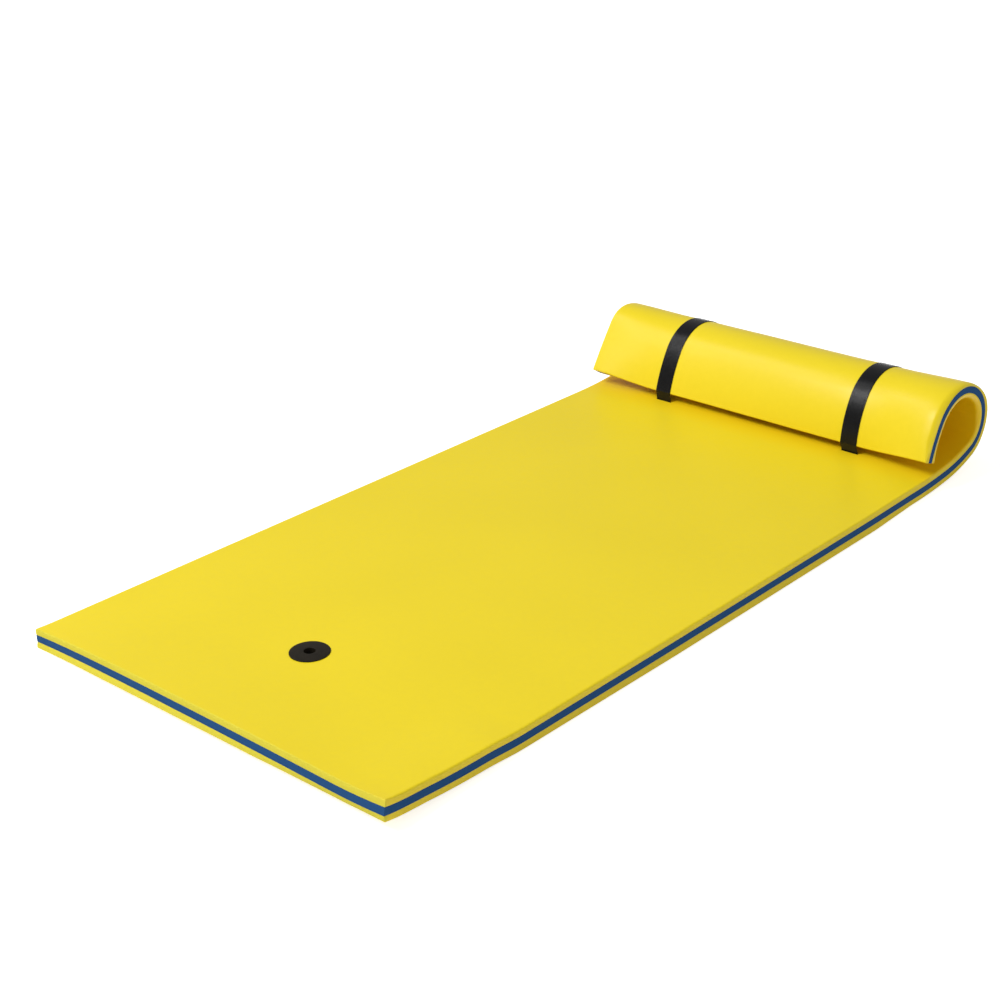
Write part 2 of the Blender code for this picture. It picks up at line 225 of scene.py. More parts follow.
# Fineness of the surfaces
column_spacing = 0.015
row_spacing = 0.014
roll_row_spacing = 0.004
edge_steps = 5
wall_steps = 6
strap_step = 0.003
strap_column = 0.0014
bend_step = math.radians(7)
turned_steps = 144
ring_steps = 6
sharp_angle = math.radians(35)

# The length over which a direction is measured, and one that keeps a divisor off 0
direction_step = 0.001
tiny = 1e-9

quarter_turn = math.tau / 4
mat_thickness = 3 * layer_thickness
half_thickness = mat_thickness / 2


def arc_rise(radius, start, end):
    """How far a stretch of this radius climbs while it turns from start to end."""
    return radius * (math.cos(start) - math.cos(end))


def arc_advance(radius, start, end):
    """How far a stretch of this radius runs along Y while it turns from start to end."""
    return radius * (math.sin(end) - math.sin(start))


def stretches(radii, headings):
    """The stretches of one place's roll after the lift: radius, start and end heading."""
    turns = [math.radians(heading) for heading in (lift_heading, *headings)]
    return list(zip(radii, turns, turns[1:]))


def length_of(roll):
    """The length of foam in this roll after the lift."""
    return sum(radius * (end - start) for radius, start, end in roll)


rolls = [
    stretches(radii, headings)
    for radii, headings in zip(
        zip(sweep_radii, back_radii, crown_radii, front_radii),
        zip(sweep_headings, back_headings, crown_headings, front_headings),
    )
]
left_strap, right_strap = 1, 2  # the straps among the four places
rolled_length = sum(length_of(roll) for roll in rolls) / len(rolls)
own_shares = [length_of(roll) / rolled_length for roll in rolls]
lift = (lift_radius, 0, math.radians(lift_heading))
flat_length = mat_length - rolled_length - length_of([lift])

# Distance of each strap piece's middle from the mat's skin, in the order they lie
webbing_out = fit_gap + webbing_thickness / 2
loop_out = webbing_out + webbing_thickness / 2 + fit_gap + patch_thickness / 2
hook_out = loop_out + patch_thickness + fit_gap
tail_out = hook_out + patch_thickness / 2 + fit_gap + webbing_thickness / 2


def stretch_starts(roll, own_share):
    """Where each stretch starts: along the mat, Y, Z, its radius, heading and own share."""
    starts = []
    along, y, z = flat_length, flat_length, half_thickness
    for stretch, share in [(lift, 1), *((stretch, own_share) for stretch in roll)]:
        radius, start, end = stretch
        starts.append((along, y, z, radius, start, share))
        along += radius * (end - start) / share
        y += arc_advance(*stretch)
        z += arc_rise(*stretch)
    return starts


roll_starts = [stretch_starts(roll, share) for roll, share in zip(rolls, own_shares)]


def middle_line(place, along):
    """Y, Z and heading of the foam's middle in a place's roll, this far from the foot."""
    y, z, heading = along, half_thickness, 0
    for begun, start_y, start_z, radius, start, share in roll_starts[place]:
        on = along > begun
        turned = start + (along - begun) * share / radius
        y = np.where(on, start_y + radius * (np.sin(turned) - math.sin(start)), y)
        z = np.where(on, start_z + radius * (math.cos(start) - np.cos(turned)), z)
        heading = np.where(on, turned, heading)
    return y, z, heading


def rear_along(place):
    """How far along the mat a place's roll stands upright at its back."""
    begun, _, _, radius, start, share = [s for s in roll_starts[place] if s[4] <= quarter_turn][-1]
    return begun + radius * (quarter_turn - start) / share


closed_stack = tail_out + webbing_thickness / 2
overall_length = half_thickness + max(
    float(middle_line(place, rear_along(place))[0]) + stack
    for place, stack in enumerate((0, closed_stack, closed_stack, 0))
)


def lay_at(place, along, above):
    """Y and Z of a point in a place's roll, this far along the mat and above its middle."""
    y, z, heading = middle_line(place, along)
    y = y - overall_length / 2
    return y - above * np.sin(heading), z + above * np.cos(heading)


def spot_at(place, along, above):
    """The same point as a vector."""
    return Vector(lay_at(place, along, above))


def swelling(heading, peak, span):
    """1 at the peak heading, fading to 0 over a span to either side, both in degrees."""
    off = np.abs(heading - math.radians(peak)) / math.radians(span)
    return ease(1 - off)


def turned_past(heading, start, span):
    """0 up to the start heading, rising to 1 over a span past it, both in degrees."""
    return ease((heading - math.radians(start)) / math.radians(span))


def thinned(place, heading):
    """How much thinner the outer layer is at this heading of a place's roll."""
    thinner = crown_thinning[place] * swelling(heading, thinnest_heading, thinning_span)
    return thinner - front_fullness[place] * swelling(heading, fullest_heading, fullness_span)


def outside(place, along, out):
    """A point in a place's roll, this far outside the mat's lower skin."""
    thinner = float(thinned(place, middle_line(place, along)[2]))
    return spot_at(place, along, thinner - half_thickness - out)


def ease(share):
    """A smooth step from 0 to 1, held at both ends."""
    share = np.clip(share, 0, 1)
    return share * share * (3 - 2 * share)


# Across the mat, the zones in which one place's roll passes over into the next one's
hold_start = strap_place - strap_hold / 2
hold_end = strap_place + strap_hold / 2
zones = [(-mat_width / 2, -hold_end), (-hold_start, hold_start), (hold_end, mat_width / 2)]


def mixed(x, values):
    """What each place across the mat has, passed over smoothly from one to the next."""
    found = values[0]
    for (left, right), following in zip(zones, values[1:]):
        share = ease((x - left) / (right - left))
        found = found + (following - found) * share
    return found


def lay(x, along, above):
    """Y and Z of a point this far across, along the mat and above its middle, as it lies."""
    spots = [lay_at(place, along, above) for place in range(len(rolls))]
    return tuple(mixed(x, list(values)) for values in zip(*spots))


curl_length = grommet_place - flange_radius - curl_clearance
slot_along = mat_length - slot_from_head
slot_half_length = webbing_width / 2 + slot_end_clearance

tube_radius = bore_radius + tube_wall
sleeve_bore = tube_radius + fit_gap
sleeve_radius = sleeve_bore + sleeve_wall
foam_hole_radius = sleeve_radius + fit_gap
recess_radius = flange_radius + fit_gap
recess_depth = lower_flange_thickness + 2 * fit_gap
hole_reach = 0.050


def foot_set(x, along):
    """How far the set in the foot end lifts the foam here."""
    from_left = x + mat_width / 2
    from_right = np.maximum(mat_width / 2 - x, 0)
    spring = foot_lift * (1 - np.exp(-np.maximum(from_left, 0) / foot_lift_reach))
    spring = spring * np.clip(1 - along / curl_length, 0, None) ** foot_lift_power
    corner = corner_lift * np.clip(1 - from_right / corner_lift_reach, 0, None) ** 2
    corner = corner * np.clip(1 - along / corner_lift_reach, 0, None) ** 2
    side = side_lift * ease(1 - from_right / side_lift_reach)
    side = side * ease(along / side_lift_run)
    return spring + corner + side * ease((side_lift_end - along) / side_lift_run)


def foot_slope(x, along):
    """How steeply the set in the foot end climbs along the mat here."""
    return (foot_set(x, along + edge_round) - foot_set(x, along)) / edge_round


def below_core(above):
    """0 down to the foot of the core's layer, rising to 1 at the lower skin."""
    core = core_thickness / 2
    return np.clip((-core - above) / (half_thickness - core), 0, 1)


def side_flare(x, along, above):
    """How far the right side's uneven cut shifts the foam outward here."""
    share = flare_share + (1 - flare_share) * below_core(above)
    flare = np.interp(along, flare_places, flare_amounts) * share
    return flare * np.clip(1 - (mat_width / 2 - x) / slant_reach, 0, 1) ** 2


def foot_slant(x, along, above):
    """How far the foot's uneven cut shifts the foam forward here."""
    share = forward_share + (1 - forward_share) * below_core(above)
    forward = np.interp(x, forward_places, forward_amounts) * share
    back = np.interp(x, back_places, back_amounts) * below_core(above)
    return (forward - back) * np.clip(1 - along / slant_reach, 0, 1) ** 2


# Materials


def feed(tree, socket, source):
    """Sets a socket to a number or colour, or links another socket to it."""
    if isinstance(source, bpy.types.NodeSocket):
        tree.links.new(source, socket)
    elif source is not None:
        socket.default_value = source


def calc(tree, operation, *operands):
    """The result of a Math node on sockets and numbers."""
    made = tree.nodes.new("ShaderNodeMath")
    made.operation = operation
    for socket, operand in zip(made.inputs, operands):
        feed(tree, socket, operand)
    return made.outputs[0]


def ranged(tree, source, low, high, to_low, to_high):
    """A value mapped from one range to another and held within it."""
    made = tree.nodes.new("ShaderNodeMapRange")
    for name, given in (
        ("Value", source),
        ("From Min", low),
        ("From Max", high),
        ("To Min", to_low),
        ("To Max", to_high),
    ):
        feed(tree, made.inputs[name], given)
    return made.outputs["Result"]


def coordinates(tree, kind, stretch=(1, 1, 1)):
    """Texture coordinates of this kind, stretched along each axis."""
    source = tree.nodes.new("ShaderNodeTexCoord").outputs[kind]
    made = tree.nodes.new("ShaderNodeMapping")
    made.inputs["Scale"].default_value = stretch
    tree.links.new(source, made.inputs["Vector"])
    return made.outputs["Vector"]


def part_of(tree, vector, axis):
    """One axis of a vector."""
    made = tree.nodes.new("ShaderNodeSeparateXYZ")
    tree.links.new(vector, made.inputs[0])
    return made.outputs[axis]


def times(tree, first, second):
    """One value times another."""
    return calc(tree, "MULTIPLY", first, second)


def spread(tree, soft, low, high):
    """Noise, most of which lies between 0.3 and 0.7, spread over another range."""
    return ranged(tree, soft, 0.3, 0.7, low, high)


def noise_at(tree, vector, size, detail=2, share=0.5):
    """Soft noise whose features are about this size in metres, from 0 to 1."""
    made = tree.nodes.new("ShaderNodeTexNoise")
    feed(tree, made.inputs["Vector"], vector)
    made.inputs["Scale"].default_value = 1 / size
    made.inputs["Detail"].default_value = detail
    made.inputs["Roughness"].default_value = share
    return made.outputs["Fac"]


def cells(tree, vector, size, feature="F1"):
    """Distance to the nearest cell's middle or wall, for cells of this size in metres."""
    made = tree.nodes.new("ShaderNodeTexVoronoi")
    made.feature = feature
    feed(tree, made.inputs["Vector"], vector)
    made.inputs["Scale"].default_value = 1 / size
    return made.outputs["Distance"]


def blended(tree, share, first, second):
    """A colour between two colours or colour sockets."""
    made = tree.nodes.new("ShaderNodeMix")
    made.data_type = "RGBA"
    colours = [socket for socket in made.inputs if socket.type == "RGBA"]
    feed(tree, made.inputs[0], share)
    for socket, given in zip(colours, (first, second)):
        feed(tree, socket, (*given, 1) if isinstance(given, tuple) else given)
    return [socket for socket in made.outputs if socket.type == "RGBA"][0]


def bumped(tree, height, distance, below=None):
    """A normal bent by this height, from 0 to 1, times a distance in metres."""
    made = tree.nodes.new("ShaderNodeBump")
    made.inputs["Strength"].default_value = 1
    made.inputs["Distance"].default_value = distance
    feed(tree, made.inputs["Height"], height)
    feed(tree, made.inputs["Normal"], below)
    return made.outputs["Normal"]


def shaded(name, colour, roughness, gloss):
    """A new material with its tree and its shader."""
    made = bpy.data.materials.new(name)
    made.use_nodes = True
    tree = made.node_tree
    shader = tree.nodes["Principled BSDF"]
    made.diffuse_color = (*colour, 1)
    shader.inputs["Base Color"].default_value = (*colour, 1)
    shader.inputs["Roughness"].default_value = roughness
    shader.inputs["Specular IOR Level"].default_value = gloss
    return made, tree, shader


def link_looks(tree, shader, colour, roughness, normal):
    """Links a colour, a roughness and a normal to the shader."""
    for name, source in (("Base Color", colour), ("Roughness", roughness), ("Normal", normal)):
        tree.links.new(source, shader.inputs[name])


def scaled(colour, factor):
    """The colour made lighter or darker."""
    return tuple(part * factor for part in colour)


yellow = (0.865, 0.675, 0.014)
# Painted shade: the amber that the deck's skin takes inside the roll
shade_amber = (0.930, 0.610, 0.004)
cut_yellow = (0.910, 0.688, 0.050)
# Painted shade: the cut faces' darker colour at the foot, where more light falls
foot_shade_yellow = (0.735, 0.635, 0.050)
seam_yellow = (0.880, 0.780, 0.220)
blue = (0.010, 0.070, 0.205)
webbing_black = (0.0060, 0.0060, 0.0068)
hook_black = (0.0080, 0.0080, 0.0090)
loop_black = (0.0100, 0.0100, 0.0110)
plastic_black = (0.0140, 0.0110, 0.0070)


def skin_material(name, amber_shade_painted):
    """The mat's smooth skin, a soft satin with a fine leathery grain, with painted shade in the roll.
    """
    made, tree, shader = shaded(name, yellow, roughness=0.36, gloss=0.28)
    place = coordinates(tree, "Object")
    broad = noise_at(tree, place, 0.30, detail=1)
    mottle = noise_at(tree, place, 0.012, detail=3)
    tone = calc(tree, "ADD", times(tree, broad, 0.6), times(tree, mottle, 0.4))
    colour = blended(tree, spread(tree, tone, 0, 1), scaled(yellow, 0.975), scaled(yellow, 1.02))
    # Painted shade: from where the mat starts to roll to just past the slots, the skin turns amber
    if amber_shade_painted:
        along = part_of(tree, coordinates(tree, "UV"), "Y")
        inside = ranged(tree, along, flat_length, slot_along + webbing_width, 0, 1)
        colour = blended(tree, inside, colour, shade_amber)
    grain = cells(tree, place, 0.0011, "SMOOTH_F1")
    fine = noise_at(tree, place, 0.0006)
    normal = bumped(tree, fine, 0.00004, bumped(tree, grain, 0.00006))
    link_looks(tree, shader, colour, spread(tree, mottle, 0.33, 0.39), normal)
    return made


def cut_material(name, colour, seam_colour, foot_shade_colour):
    """A foam cut face: open cells with painted shade in their pits, a pale line where the layers bond.
    """
    made, tree, shader = shaded(name, colour, roughness=0.8, gloss=0.25)
    place = coordinates(tree, "Object")
    pores = cells(tree, place, 0.0009)
    coarse = noise_at(tree, place, 0.006, detail=3)
    # Painted shade in the open cells' pits, times a tone that differs at random
    pit_shade = ranged(tree, pores, 0, 0.45, 0.85, 1)
    tone = times(tree, pit_shade, spread(tree, coarse, 0.93, 1.05))
    off_middle = calc(tree, "ABSOLUTE", part_of(tree, coordinates(tree, "UV"), "Y"))
    off_seam = calc(tree, "ABSOLUTE", calc(tree, "SUBTRACT", off_middle, core_thickness / 2))
    seam = ranged(tree, off_seam, 0.0002, 0.0012, 1, 0)
    # Painted shade: the foot's cut face and the deck's rim there are darker than the sides
    foot = -overall_length / 2
    y = part_of(tree, place, "Y")
    shaded_at_foot = ranged(tree, y, foot + edge_round, foot + 3 * edge_round, 1, 0)
    plain = blended(tree, shaded_at_foot, colour, foot_shade_colour)
    base = blended(tree, times(tree, seam, calc(tree, "SUBTRACT", 1, shaded_at_foot)), plain, seam_colour)
    shown = blended(tree, tone, scaled(colour, 0.7), base)
    roughness = ranged(tree, pores, 0, 0.5, 0.7, 0.9)
    link_looks(tree, shader, shown, roughness, bumped(tree, pores, 0.00022))
    return made


def webbing_material():
    """Woven webbing: columns of floats that lean left and right in turn."""
    made, tree, shader = shaded("webbing", webbing_black, roughness=0.24, gloss=0.19)
    flat = coordinates(tree, "UV")
    column = calc(tree, "DIVIDE", part_of(tree, flat, "X"), weave_width)
    across = calc(tree, "FRACT", column)
    parity = calc(tree, "MODULO", calc(tree, "ABSOLUTE", calc(tree, "FLOOR", column)), 2)
    lean = times(tree, calc(tree, "SUBTRACT", times(tree, parity, 2), 1), across)
    along = calc(tree, "ADD", calc(tree, "DIVIDE", part_of(tree, flat, "Y"), weave_length), lean)
    round_across = calc(tree, "SINE", times(tree, across, math.pi))
    round_along = calc(tree, "ABSOLUTE", calc(tree, "SINE", times(tree, along, math.pi)))
    round_across = calc(tree, "POWER", round_across, 0.6)
    yarn = times(tree, round_across, calc(tree, "POWER", round_along, 0.5))
    fuzz = noise_at(tree, coordinates(tree, "UV", (1, 0.3, 1)), 0.0004)
    height = calc(tree, "ADD", yarn, times(tree, fuzz, 0.25))
    wear = noise_at(tree, flat, 0.02, detail=3)
    # Painted shade between the yarns, times the tone that wear gives at random
    tone = times(tree, ranged(tree, yarn, 0, 1, 0.35, 1), spread(tree, wear, 0.85, 1.15))
    colour = blended(tree, tone, scaled(webbing_black, 0.3), scaled(webbing_black, 1.15))
    normal = bumped(tree, height, 0.00006)
    link_looks(tree, shader, colour, spread(tree, wear, 0.23, 0.25), normal)
    return made


def hook_material():
    """Moulded hook tape."""
    made, tree, shader = shaded("hook_tape", hook_black, roughness=0.55, gloss=0.25)
    speck = noise_at(tree, coordinates(tree, "UV"), 0.0008, detail=3)
    colour = blended(tree, speck, scaled(hook_black, 0.8), scaled(hook_black, 1.4))
    normal = bumped(tree, speck, 0.00005)
    link_looks(tree, shader, colour, spread(tree, speck, 0.45, 0.65), normal)
    return made


def loop_material():
    """Brushed loop tape: a matted pile of fine loops."""
    made, tree, shader = shaded("loop_tape", loop_black, roughness=0.9, gloss=0.2)
    pile = noise_at(tree, coordinates(tree, "UV", (1, 0.6, 1)), 0.0005, detail=4, share=0.7)
    matted = noise_at(tree, coordinates(tree, "UV"), 0.008, detail=3)
    tone = times(tree, pile, spread(tree, matted, 0.7, 1.3))
    colour = blended(tree, tone, scaled(loop_black, 0.4), scaled(loop_black, 2.2))
    link_looks(tree, shader, colour, spread(tree, pile, 0.85, 1), bumped(tree, pile, 0.0003))
    shader.inputs["Sheen Weight"].default_value = 0.12
    shader.inputs["Sheen Roughness"].default_value = 0.5
    return made


def thread_material():
    """Black sewing thread, a little shinier than the webbing, with a fine twist."""
    made, tree, shader = shaded("thread", webbing_black, roughness=0.38, gloss=0.3)
    twist = noise_at(tree, coordinates(tree, "Object"), 0.0003, detail=1)
    colour = blended(tree, twist, scaled(webbing_black, 0.8), scaled(webbing_black, 2))
    normal = bumped(tree, twist, 0.00006)
    link_looks(tree, shader, colour, spread(tree, twist, 0.32, 0.45), normal)
    return made


def plastic_material():
    """Moulded plastic with a spark-eroded texture, scuffed a little lighter in places."""
    made, tree, shader = shaded("moulded_plastic", plastic_black, roughness=0.45, gloss=0.12)
    place = coordinates(tree, "Object")
    grain = noise_at(tree, place, 0.0005, detail=3)
    scuff = noise_at(tree, place, 0.014, detail=4, share=0.6)
    dark, light = scaled(plastic_black, 0.92), scaled(plastic_black, 1.5)
    colour = blended(tree, ranged(tree, scuff, 0.4, 0.75, 0, 1), dark, light)
    roughness = ranged(tree, scuff, 0.35, 0.7, 0.40, 0.54)
    link_looks(tree, shader, colour, roughness, bumped(tree, grain, 0.00004))
    return made


# Meshes


def evenly(start, end, steps):
    """Evenly spaced numbers from start to end, in this many steps."""
    return [start + (end - start) * step / steps for step in range(steps + 1)]


def in_scene(name, data):
    """A new object of this data, in the scene."""
    made = bpy.data.objects.new(name, data)
    bpy.context.scene.collection.objects.link(made)
    return made


def add_piece(name, mesh, body, replaced=(), finishes=()):
    """An object of this mesh that rides on a body and stands for CAD nodes."""
    made = in_scene(name, mesh)
    for finish in finishes:
        mesh.materials.append(finish)
    if body:
        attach(made, body)
    if replaced:
        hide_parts(*replaced)
    return made


def mesh_of(name, points, faces, uvs=None, kinds=None):
    """A smooth mesh of these faces, with its unused points left out."""
    faces = [list(map(int, face)) for face in faces]
    used = sorted({index for face in faces for index in face})
    number = {index: i for i, index in enumerate(used)}
    faces = [[number[index] for index in face] for face in faces]
    mesh = bpy.data.meshes.new(name)
    mesh.from_pydata([tuple(points[index]) for index in used], [], faces)
    if uvs is not None:
        layer = mesh.uv_layers.new(name="flat")
        layer.data.foreach_set("uv", np.concatenate([np.ravel(uv) for uv in uvs]))
    if kinds is not None:
        mesh.polygons.foreach_set("material_index", kinds)
    mesh.shade_smooth()
    mesh.set_sharp_from_angle(angle=sharp_angle)
    mesh.update()
    return mesh


def tube_faces(first, rings, sides, inverted=False):
    """The walls between rings of points that follow each other, and both end caps."""
    faces = []
    last = first + (rings - 1) * sides
    for start in range(first, last, sides):
        for k in range(sides):
            a, b = start + k, start + (k + 1) % sides
            wall = (a, a + sides, b + sides, b) if inverted else (a, b, b + sides, a + sides)
            faces.append(wall)
    near, far = range(first, first + sides), range(last, last + sides)
    caps = (near, reversed(far)) if inverted else (reversed(near), far)
    return faces + [tuple(cap) for cap in caps]


# Foam


def edge_insets(*reaches):
    """Distances from a cut edge at which its roundings, the smallest first, are divided."""
    found = [0]
    for reach in reaches:
        turns = evenly(0, quarter_turn, edge_steps)
        insets = [reach * (1 - math.cos(turn)) for turn in turns]
        found += [inset for inset in insets if inset > found[-1]]
    return found


def hole_offsets():
    """Distances from the grommet's axis at which the foam round it is divided."""
    lane = fit_gap / 2
    hole = [foam_hole_radius * math.tan(math.radians(turn)) for turn in (0, 15, 30, 45)]
    rings = [foam_hole_radius + (recess_radius - foam_hole_radius) * k / 3 for k in (1, 2)]
    edge = [recess_radius - lane, recess_radius + lane]
    offsets = [*hole, *rings, *edge, (recess_radius + hole_reach) / 2, hole_reach]
    return sorted({*offsets, *(-offset for offset in offsets)})


def with_lines(even, fixed, clearance):
    """The evenly spaced lines and the fixed ones, with none too close to a fixed one."""
    kept = [line for line in even if min(abs(line - f) for f in fixed) > clearance]
    return np.array(sorted([*kept, *fixed]))


def column_lines():
    """The places across the mat at which its layers are divided."""
    count = round(mat_width / column_spacing)
    even = [mat_width * (i / count - 1 / 2) for i in range(1, count)]
    insets = edge_insets(edge_round, deck_edge_round, inner_rim_reach, open_rim_reach)
    fixed = [side * (mat_width / 2 - inset) for side in (-1, 1) for inset in insets]
    for strap in (-strap_place, strap_place):
        fixed += [strap - slot_half_length, strap + slot_half_length]
    return with_lines(even, [*fixed, *hole_offsets()], column_spacing / 4)


def row_lines():
    """The distances along the mat at which its layers are divided."""
    flat_count = round(flat_length / row_spacing)
    roll_length = mat_length - flat_length
    roll_count = round(roll_length / roll_row_spacing)
    even = [flat_length * i / flat_count for i in range(1, flat_count)]
    even += [flat_length + roll_length * i / roll_count for i in range(roll_count)]
    insets = edge_insets(edge_round, deck_edge_round)
    fixed = [*insets, *(mat_length - inset for inset in insets)]
    fixed += [slot_along - bend_radius, slot_along + bend_radius]
    fixed += [grommet_place + offset for offset in hole_offsets()]
    return with_lines(even, fixed, roll_row_spacing / 4)


def rounding(inset, depth, reach=None, softened=0):
    """How far a rounded rim has dropped at this distance from the edge."""
    inside = 1 - np.clip(inset / (depth if reach is None else reach), 0, 1)
    elliptical = 1 - np.sqrt(1 - inside**2)
    return depth * (elliptical + (inside**2 - elliptical) * softened)


def round_hole(x, along):
    """The grid drawn into circles round the grommet's axis, and the circle's radius."""
    off_x, off_along = x, along - grommet_place
    ring = np.maximum(np.abs(off_x), np.abs(off_along))
    distance = np.maximum(np.hypot(off_x, off_along), tiny)
    share = np.clip((ring - recess_radius - fit_gap) / (hole_reach - recess_radius - fit_gap), 0, 1)
    factor = share + (1 - share) * ring / distance
    near = ring < hole_reach
    new_x = np.where(near, off_x * factor, x)
    new_along = np.where(near, grommet_place + off_along * factor, along)
    return new_x, new_along, ring


def beyond_straps(x):
    """How far beyond the nearer strap's edge this is, and less than 0 beside its middle."""
    return np.minimum(np.abs(x - strap_place), np.abs(x + strap_place)) - webbing_width / 2


def clear_of_straps(x, margin):
    """0 beside a strap's middle, rising to 1 this far beyond its edge."""
    return ease(beyond_straps(x) / margin)


def soft_noise(x, y, seed):
    """Smooth noise over two coordinates, from about -1 to 1."""
    flat = zip(np.ravel(x), np.ravel(y))
    found = [noise.noise(Vector((a, b, seed))) for a, b in flat]
    return np.array(found).reshape(np.shape(x))


def on_roll(along):
    """0 on the flat of the mat, rising to 1 where it rolls."""
    return ease((along - flat_length) / roll_onset)


def inner_relief(x, along, heading, ring):
    """How far the deck and the roll's inside stand off their true surface."""
    clear = clear_of_straps(x, deck_strap_margin)
    clear = clear * np.clip((ring - hole_reach) / deck_grommet_margin, 0, 1)
    waves = soft_noise(x / deck_relief_length, along / deck_relief_length, deck_seed)
    off = np.abs(heading - math.radians(wrinkle_heading)) / math.radians(wrinkle_span)
    phase = soft_noise(x / wander_width, along / wander_length, wander_seed)
    pleats = np.sin(math.tau * along / wrinkle_length + wrinkle_wander * phase)
    wrinkles = wrinkle_height * pleats * np.clip(1 - off, 0, 1) * (1 + phase) / 2
    return deck_relief * waves * clear + wrinkles


def outer_relief(x, along):
    """How far the roll's outside stands off its true surface."""
    clear = clear_of_straps(x, roll_strap_margin)
    waves = soft_noise(x / roll_relief_width, along / roll_relief_length, roll_seed)
    fine = soft_noise(x / fine_relief_width, along / fine_relief_length, fine_seed)
    off = beyond_straps(x)
    bulge = ease(off / strap_bulge_length)
    bulge = bulge * np.exp(-np.clip(off, 0, None) / strap_bulge_fade)
    relief = roll_relief * (waves + fine_relief_share * fine) * clear + strap_bulge * bulge
    return -relief * on_roll(along)


def open_rim(x, along, heading, thickness, plain, reach, opened_from):
    """The depth and reach of an outer rim, which is drawn round at the roll's right end."""
    clear = ease((mat_length - along) / (4 * open_rim_depth)) * (x > 0)
    opened = turned_past(heading, opened_from, opened_span) * clear
    depth = np.minimum(open_rim_depth, open_rim_share * thickness)
    return plain + (depth - plain) * opened, plain + (reach - plain) * opened


def rim_of(left, near, right, far):
    """The grid points round a block of it, in order, as (row, column) pairs."""
    ring = [(near, i) for i in range(left, right)]
    ring += [(j, right) for j in range(near, far)]
    ring += [(far, i) for i in range(right, left, -1)]
    return ring + [(j, left) for j in range(far, near, -1)]


def block_of(lines, middle, half):
    """The indices of the lines at the two ends of a hole."""
    return [int(np.argmin(np.abs(lines - end))) for end in (middle - half, middle + half)]


def holes_in(xs, rows):
    """The columns and rows that bound each hole: the slots, and then the grommet's."""
    holes = [(x, slot_half_length, slot_along, bend_radius) for x in (-strap_place, strap_place)]
    holes.append((0, foam_hole_radius, grommet_place, foam_hole_radius))
    return [
        (block_of(xs, x, half_x), block_of(rows, along, half_along))
        for x, half_x, along, half_along in holes
    ]


def layer_heights(x, along, inset, ring, low, high):
    """How far above the mat's middle a layer's upper and lower faces lie."""
    headings = [middle_line(place, along)[2] for place in range(len(rolls))]
    heading = mixed(x, headings)
    top, bottom = high - rounding(inset, seam_round), low + rounding(inset, seam_round)
    off_edge = np.clip(inset / edge_round, 0, 1)
    if high == half_thickness:
        grown = ease(along / foot_rim_reach)
        deck_round = foot_edge_round + (deck_edge_round - foot_edge_round) * grown
        thick = high - low
        rim = open_rim(x, along, heading, thick, deck_round, inner_rim_reach, deck_opened_from)
        top = high - rounding(inset, *rim)
        top = top + inner_relief(x, along, heading, ring) * off_edge
    if low == -half_thickness:
        thinner = mixed(x, [thinned(*of_place) for of_place in enumerate(headings)])
        thick = high - low - thinner
        rim = open_rim(x, along, heading, thick, edge_round, open_rim_reach, skin_opened_from)
        softened = turned_past(heading, softened_from, softened_span) * (x > 0)
        bottom = low + thinner + rounding(inset, *rim, softened)
        bottom = bottom + outer_relief(x, along) * off_edge
        bottom = np.where(ring < recess_radius, low + recess_depth, bottom)
    return top, bottom


def laid(x, along, above):
    """The points of the foam as it lies, with its set and its uneven cuts."""
    y, z = lay(x, along, above)
    y = y - above * foot_slope(x, along) - foot_slant(x, along, above)
    return np.stack([x + side_flare(x, along, above), y, z + foot_set(x, along)], 1)


